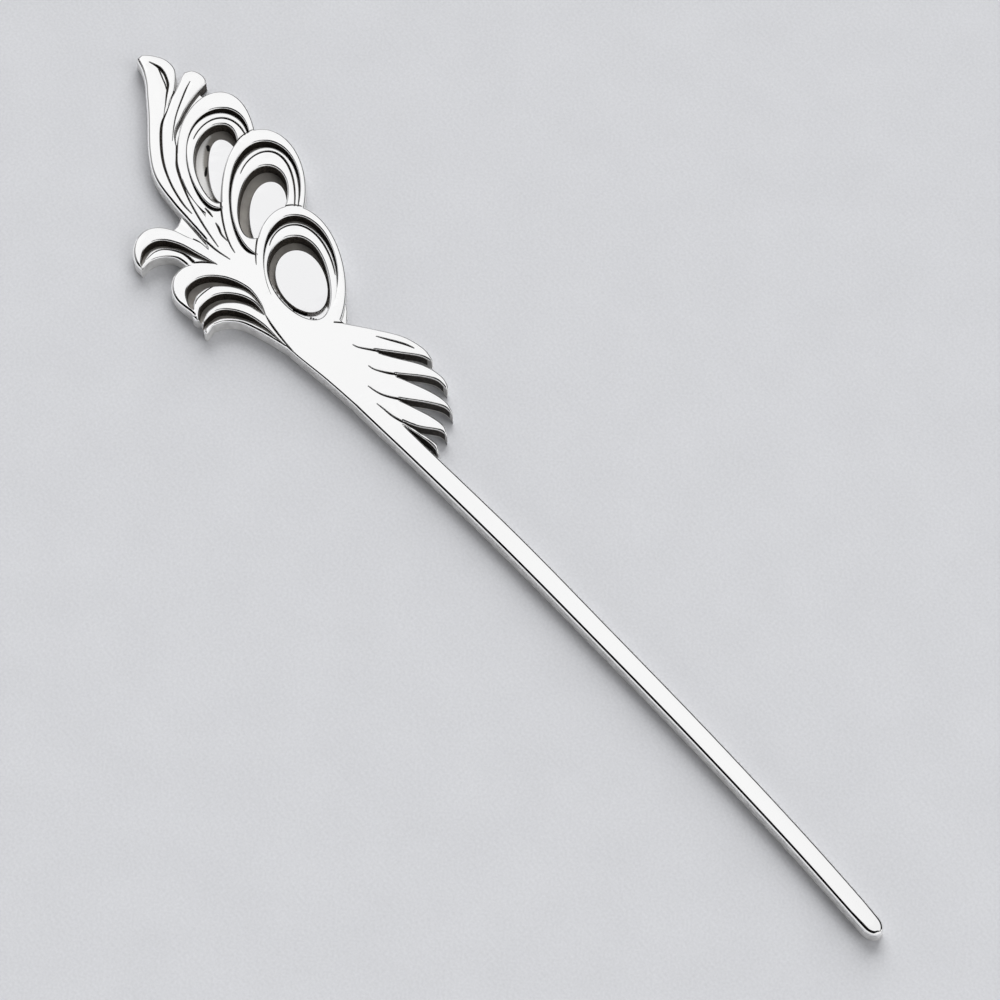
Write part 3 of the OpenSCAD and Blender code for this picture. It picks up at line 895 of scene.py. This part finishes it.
def aged_silver(name, dark, pale, metal, rough, patch, painted_light=(), bare=(), dark_reflections=()):
    """Silver left from casting or under an oxide skin: two tones in patches patch mm wide and a
    fine grain. Some spots are painted pale as light, some are rubbed down to bare metal and some
    are painted black as dark reflections."""
    material, tree = new_material(name)
    place = add(tree, "ShaderNodeTexCoord").outputs["Object"]
    cloud = add(tree, "ShaderNodeTexNoise", {}, {
        "Vector": place, "Scale": 1 / (patch * MM), "Detail": 3.0})
    spread = add(tree, "ShaderNodeMapRange", {}, {
        "Value": cloud.outputs["Fac"], "From Min": 0.33, "From Max": 0.67})
    tone = add(tree, "ShaderNodeMix", {"data_type": "RGBA"}, {
        "Factor": spread.outputs["Result"], 6: linear(dark), 7: linear(pale)})
    # A casting's grain is finer than this, but it is drawn 0.2 mm wide so that it just shows
    speck = add(tree, "ShaderNodeTexNoise", {}, {
        "Vector": place, "Scale": 1 / (0.2 * MM), "Detail": 2.0})
    dull = add(tree, "ShaderNodeMapRange", {}, {
        "Value": speck.outputs["Fac"], "To Min": rough - 0.08, "To Max": rough + 0.08})
    bump = add(tree, "ShaderNodeBump", {}, {
        "Height": speck.outputs["Fac"], "Strength": 0.4, "Distance": 0.01 * MM})
    colour, dullness, metalness = tone.outputs[2], dull.outputs["Result"], metal
    if bare:
        shine = patches(tree, place, bare, 0.5)
        # Pale spots are painted light, bare spots are bright metal, black spots are painted dark
        # reflections
        for mask, tint in ((patches(tree, place, painted_light, 0.5), "#EFEEEC"), (shine, "#F6F6F6"),
                           (patches(tree, place, dark_reflections, 0.1), "#0E0C0A")):
            colour = add(tree, "ShaderNodeMix", {"data_type": "RGBA"}, {
                "Factor": mask, 6: colour, 7: linear(tint)}).outputs[2]
        dullness = add(tree, "ShaderNodeMapRange", {}, {
            "Value": shine, "To Min": rough, "To Max": 0.2}).outputs["Result"]
        metalness = add(tree, "ShaderNodeMapRange", {}, {
            "Value": shine, "To Min": metal, "To Max": 1.0}).outputs["Result"]
    shader = add(tree, "ShaderNodeBsdfPrincipled", {}, {
        "Base Color": colour, "Metallic": metalness, "Roughness": dullness,
        "Normal": bump.outputs["Normal"]})
    add(tree, "ShaderNodeOutputMaterial", {}, {"Surface": shader.outputs["BSDF"]})
    return material


casting_finishes += [
    # Silver brushed with fine grit: a soft pale sheen, in which no shape can be made out
    aged_silver("brushed silver wall", "#DDDCDA", "#F4F3F1", 0.8, 0.55, 1.5),
    # Silver under a thick oxide: near black, with a brown bloom where the skin is thinner.
    # The same near black also stands for painted shade in the cuts and on walls facing the camera
    aged_silver("oxidised silver wall and painted shade", "#0A0908", "#5A534B", 0.5, 0.5, 0.25),
]
print("finishes of the walls:", [finish.name for finish in casting_finishes[WALL:]])

# %% Painted light, bare metal and painted dark reflections on the pockets' floors: x, y, radius
# Pale spots that paint in light on the pockets' floors
painted_light_spots = curve([
    [-72.3, 7.4, 0.2], [-71.5, 5.5, 0.35], [-69.8, 3.7, 0.35], [-67.8, 2.4, 0.35],
    [-65.7, 1.4, 0.4], [-64, 1, 0.4],
], 5) + curve([[-59.4, 0.7, 0.2], [-58.2, 0.1, 0.4]], 2)
bare_floor = curve([
    [-46, -1.9, 0.1], [-43.2, -2.4, 0.3], [-41.5, -2.3, 0.4], [-39.8, -2, 0.5], [-38.2, -1.2, 0.7],
    [-37.5, 0.2, 0.8], [-37.9, 1.6, 0.5],
], 3)
# Black spots that paint in dark reflections on the pockets' floors
painted_dark_spots = [spot for rows, steps in (
    ([[-40.8, -1.75, 0.15], [-40, -1.3, 0.3], [-39.1, -0.9, 0.25]], 3),
    ([[-38.1, -0.7, 0.12], [-37.4, -0.3, 0.12]], 2),
    ([[-70.9, 6.3, 0.25], [-70.4, 6, 0.2]], 2),
    ([[-68.2, 3.8, 0.1], [-67.6, 3.2, 0.2], [-67.2, 2.8, 0.1]], 3),
) for spot in curve(rows, steps)]
print("spots:", len(painted_light_spots), "worn,", len(bare_floor), "bare,", len(painted_dark_spots), "painted_dark_reflections")

# %% Finishes of the floors and the discs, in the order of the faces' numbers
# As-cast silver under a thin oxide: a matt warm grey, against which the mirrors stand out.
# Its pale spots are painted light, and its black spots painted dark reflections
casting_finishes.append(aged_silver("oxidised silver floor with painted light and dark", "#96928D", "#A6A29C", 0.3, 0.7, 1.5,
                                    painted_light_spots, bare_floor, painted_dark_spots))
# Silver rubbed bright by hand with a steel burnisher: a mirror that is a little softer
disc_finishes = [
    polished_silver("burnished silver disc", "#F1F1F1", 0.08, 0.05),
    casting_finishes[WALL], casting_finishes[DARK], casting_finishes[FLOOR],
]
print("finishes:", [m.name for m in casting_finishes + disc_finishes[:1]])

# %% [markdown]
# A fine mesh can look smooth or faceted. Here every edge that turns less than 38 degrees is
# smooth, and large flat faces win over small ones, so the mirror tops stay truly flat while the
# rounding next to them still flows. Each piece then hides the model's part that it stands for.

# %% Dress the pieces
SMOOTH_BELOW = radians(38)


def dress(piece, finishes, node):
    """Smooth a piece, give it its finishes, hang it under the root and hide the node it stands
    for.
    """
    slots = piece.data.materials
    for i, finish in enumerate(finishes):
        # Joining and cutting leave one empty slot
        if i < len(slots):
            slots[i] = finish
        else:
            slots.append(finish)
    piece.data.shade_smooth()
    piece.data.set_sharp_from_angle(angle=SMOOTH_BELOW)
    normals = piece.modifiers.new("flat faces stay flat", "WEIGHTED_NORMAL")
    normals.mode, normals.weight, normals.keep_sharp = "FACE_AREA", 50, True
    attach(piece, "root")
    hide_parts(node)
    print(piece.name, measured(piece))


dress(casting, casting_finishes, "pin_casting")
for piece, node in zip(discs, ("eye_disc_upper", "eye_disc_middle", "eye_disc_lower")):
    dress(piece, disc_finishes, node)

# %% [markdown]
# The pin lies on a plain pale sheet. A backdrop that curves up isn't needed, because the camera
# looks down so steeply that a flat sheet fills the picture. It has slow clouds 9 mm wide and a
# fine grain, drawn 0.4 mm wide so that it just shows, so it doesn't look like an empty grey.

# %% Floor
def floor_sheet():
    """Uncoated paper: matt and pale, so that it only carries the shadow."""
    material, tree = new_material("pale matt paper")
    place = add(tree, "ShaderNodeTexCoord").outputs["Object"]
    cloud = add(tree, "ShaderNodeTexNoise", {}, {
        "Vector": place, "Scale": 1 / (9 * MM), "Detail": 4.0})
    fibre = add(tree, "ShaderNodeTexNoise", {}, {
        "Vector": place, "Scale": 1 / (0.4 * MM), "Detail": 2.0})
    both = add(tree, "ShaderNodeMath", {"operation": "MULTIPLY_ADD"}, {
        0: fibre.outputs["Fac"], 1: 3.0, 2: cloud.outputs["Fac"]})
    grain = add(tree, "ShaderNodeMapRange", {}, {
        "Value": both.outputs["Value"], "From Min": 1.0, "From Max": 3.0})
    tone = add(tree, "ShaderNodeMix", {"data_type": "RGBA"}, {
        "Factor": grain.outputs["Result"], 6: linear("#C0C1C4"), 7: linear("#CECFD2")})
    shader = add(tree, "ShaderNodeBsdfPrincipled", {}, {
        "Base Color": tone.outputs[2], "Roughness": 0.9, "Specular IOR Level": 0.2})
    add(tree, "ShaderNodeOutputMaterial", {}, {"Surface": shader.outputs["BSDF"]})
    return material


bm = bmesh.new()
bmesh.ops.create_grid(bm, x_segments=1, y_segments=1, size=1.0)
mesh = bpy.data.meshes.new("floor")
bm.to_mesh(mesh)
bm.free()
floor = bpy.data.objects.new("floor", mesh)
floor.data.materials.append(floor_sheet())
bpy.context.scene.collection.objects.link(floor)
print("floor's corners, m:", [tuple(vert.co.xy) for vert in mesh.vertices])

# %% [markdown]
# Silver shows nothing but its room, so the room is made of a few broad parts. A pale panel on
# the far side whitens the flat tops. The near side is dark, and draws the dark line along each
# edge that faces it, with a pale horizon low down for the bright line under that. A grey card
# stands to the left of the plume. Panels could be objects, but a few smooth steps in the
# world's colour do the same and never come into the picture.

# %% Room: which part a direction is in
world = bpy.data.worlds.new("studio")
world.use_nodes = True
tree = world.node_tree
tree.nodes.clear()
way = add(tree, "ShaderNodeTexCoord").outputs["Generated"]
part = add(tree, "ShaderNodeSeparateXYZ", {}, {0: way})
height = part.outputs["Z"]
# How far a direction is on the far side of a line that runs along the pin, overhead
beyond = add(tree, "ShaderNodeMath", {"operation": "MULTIPLY_ADD"}, {
    0: height, 1: -0.1, 2: part.outputs["Y"]})
parts = {}
for name, value, start, end in (
    ("far side", beyond.outputs["Value"], -0.03, 0.03),
    ("near side", beyond.outputs["Value"], 0.03, -0.03),
    ("high", height, 0.54, 0.7),
    ("low", height, 0.47, 0.37),
    ("overhead", height, 0.98, 0.988),
    ("right", part.outputs["X"], 0.55, 0.7),
    ("left", part.outputs["X"], -0.45, -0.65),
    ("not near", part.outputs["Y"], -0.45, -0.3),
):
    parts[name] = add(tree, "ShaderNodeMapRange", {"interpolation_type": "SMOOTHSTEP"}, {
        "Value": value, "From Min": start, "From Max": end}).outputs["Result"]
# The panel's top comes just past overhead, and its end turns round the stem's tip
for name, operation, first, second in (
    ("far panel", "MULTIPLY", "far side", "high"),
    ("end panel", "MAXIMUM", "overhead", "right"),
    ("panel", "MAXIMUM", "far panel", "end panel"),
    ("left card", "MULTIPLY", "left", "not near"),
    ("horizon", "MULTIPLY", "near side", "low"),
):
    parts[name] = add(tree, "ShaderNodeMath", {"operation": operation}, {
        0: parts[first], 1: parts[second]}).outputs["Value"]
print("room:", list(parts))

# %% Room: the tone of each part
PANEL, PANEL_END = "#FEFEFF", "#F1F1F2"
DARK_ROOM, HORIZON, LEFT_CARD = "#0A0909", "#F0F0F2", "#949496"
ROOM_STRENGTH = 1.05

# The panel is uneven: a little darker towards one end, and in slow clouds
cloud = add(tree, "ShaderNodeTexNoise", {}, {"Vector": way, "Scale": 9.0, "Detail": 2.0})
uneven = add(tree, "ShaderNodeMath", {"operation": "MULTIPLY_ADD"}, {
    0: part.outputs["X"], 1: 1.2, 2: cloud.outputs["Fac"]})
shade = add(tree, "ShaderNodeMapRange", {}, {
    "Value": uneven.outputs["Value"], "From Min": -0.25, "From Max": 0.45})
panel = add(tree, "ShaderNodeMix", {"data_type": "RGBA"}, {
    "Factor": shade.outputs["Result"], 6: linear(PANEL), 7: linear(PANEL_END)})
light = linear(DARK_ROOM)
for name, tone in (
    ("left card", linear(LEFT_CARD)),
    ("horizon", linear(HORIZON)),
    ("panel", panel.outputs[2]),
):
    light = add(tree, "ShaderNodeMix", {"data_type": "RGBA"}, {
        "Factor": parts[name], 6: light, 7: tone}).outputs[2]
background = add(tree, "ShaderNodeBackground", {}, {"Color": light, "Strength": ROOM_STRENGTH})
add(tree, "ShaderNodeOutputWorld", {}, {"Surface": background.outputs["Background"]})
bpy.context.scene.world = world
print("world:", world.name, len(tree.nodes), "nodes")

# %% [markdown]
# The shadow lies towards the viewer and is soft, so the light is broad and comes low from the
# far side, opposite the camera. A weaker lamp looks along the gaps of the wing. Area lamps
# close by would do, but a sun with a wide angle keeps the shadow the same all along the pin.
# The lamps are hidden from reflections, so only the room shows in the silver.

# %% Lamps
def lamp(name, azimuth, elevation, power, spread):
    """A broad lamp, far away in a direction. Azimuth is from +Y towards +X, in degrees."""
    sun = bpy.data.objects.new(name, bpy.data.lights.new(name, "SUN"))
    sun.data.energy, sun.data.angle = power, radians(spread)
    azimuth, elevation = radians(azimuth), radians(elevation)
    way = Vector((sin(azimuth) * cos(elevation), cos(azimuth) * cos(elevation), sin(elevation)))
    sun.rotation_euler = way.to_track_quat("Z", "Y").to_euler()
    sun.visible_glossy = False
    bpy.context.scene.collection.objects.link(sun)
    print("lamp", name, "power", power)


lamp("key", -45, 26, 4.05, 60)
lamp("side key", 60, 45, 0.45, 35)
# Colours come out as they are set, without a film curve
bpy.context.scene.view_settings.view_transform = "Standard"
